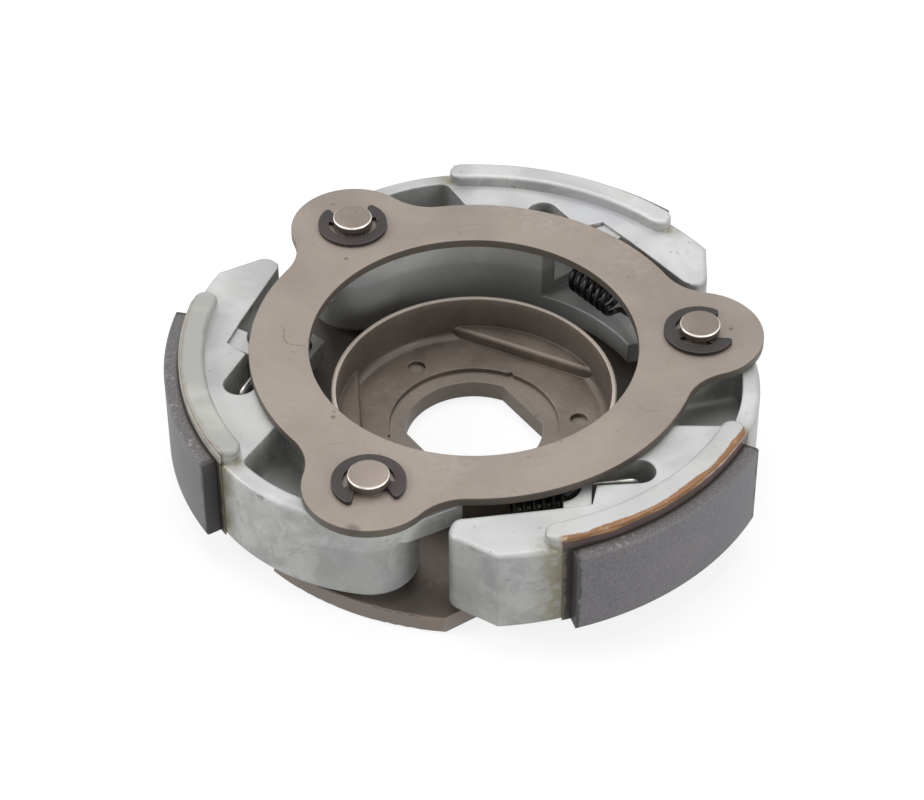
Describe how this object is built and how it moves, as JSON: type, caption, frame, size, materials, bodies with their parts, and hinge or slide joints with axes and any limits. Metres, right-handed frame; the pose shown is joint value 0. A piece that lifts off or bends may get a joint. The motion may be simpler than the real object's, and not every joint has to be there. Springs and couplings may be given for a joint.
{
  "type": "centrifugal clutch",
  "caption": "Dry centrifugal clutch: sprung pivoting shoes with bonded linings on a base plate, tied by a lobed side plate with clips",
  "frame": {"origin": "on the clutch axis at the back face of the base plate", "axes": "+Z along the clutch axis towards the side plate; the first pivot pin stands 30 degrees anticlockwise of +X"},
  "size_m": [0.1211, 0.1193, 0.0291],
  "materials": {
    "phosphated_steel": "satin brown-grey phosphate",
    "pin_steel": "satin",
    "clip_steel": "dark satin",
    "cast_aluminium": "matte as cast",
    "friction_lining": "matte speckled friction compound",
    "bonding_resin": "matte",
    "spring_steel": "oiled dark steel",
    "stop_rubber": "matte"
  },
  "bodies": {
    "clutch_base": {"base_plate": "phosphated_steel", "hub_cup": "phosphated_steel", "side_plate": "phosphated_steel", "pivot_pin_1": "pin_steel", "retaining_clip_1": "clip_steel", "stop_stud_1": "pin_steel", "stop_rubber_1": "stop_rubber", "pivot_pin_2": "pin_steel", "retaining_clip_2": "clip_steel", "stop_stud_2": "pin_steel", "stop_rubber_2": "stop_rubber", "pivot_pin_3": "pin_steel", "retaining_clip_3": "clip_steel", "stop_stud_3": "pin_steel", "stop_rubber_3": "stop_rubber"},
    "shoe_set_1": {"shoe_1": "cast_aluminium", "bond_1": "bonding_resin", "lining_1": "friction_lining", "return_spring_1": "spring_steel"},
    "shoe_set_2": {"shoe_2": "cast_aluminium", "bond_2": "bonding_resin", "lining_2": "friction_lining", "return_spring_2": "spring_steel"},
    "shoe_set_3": {"shoe_3": "cast_aluminium", "bond_3": "bonding_resin", "lining_3": "friction_lining", "return_spring_3": "spring_steel"}
  },
  "joints": [
    {"name": "shoe_1_pivot", "type": "hinge", "parent": "clutch_base", "child": "shoe_set_1", "pos_m": [0.03897, 0.0225, 0.0144], "axis": [0, 0, 1], "range_deg": [0, 3], "stiffness_Nm_per_rad": 8, "springref_deg": -6.88, "deforming": ["return_spring_1"]},
    {"name": "shoe_2_pivot", "type": "hinge", "parent": "clutch_base", "child": "shoe_set_2", "pos_m": [-0.03897, 0.0225, 0.0144], "axis": [0, 0, 1], "range_deg": [0, 3], "stiffness_Nm_per_rad": 8, "springref_deg": -6.88, "deforming": ["return_spring_2"]},
    {"name": "shoe_3_pivot", "type": "hinge", "parent": "clutch_base", "child": "shoe_set_3", "pos_m": [0, -0.045, 0.0144], "axis": [0, 0, 1], "range_deg": [0, 3], "stiffness_Nm_per_rad": 8, "springref_deg": -6.88, "deforming": ["return_spring_3"]}
  ]
}
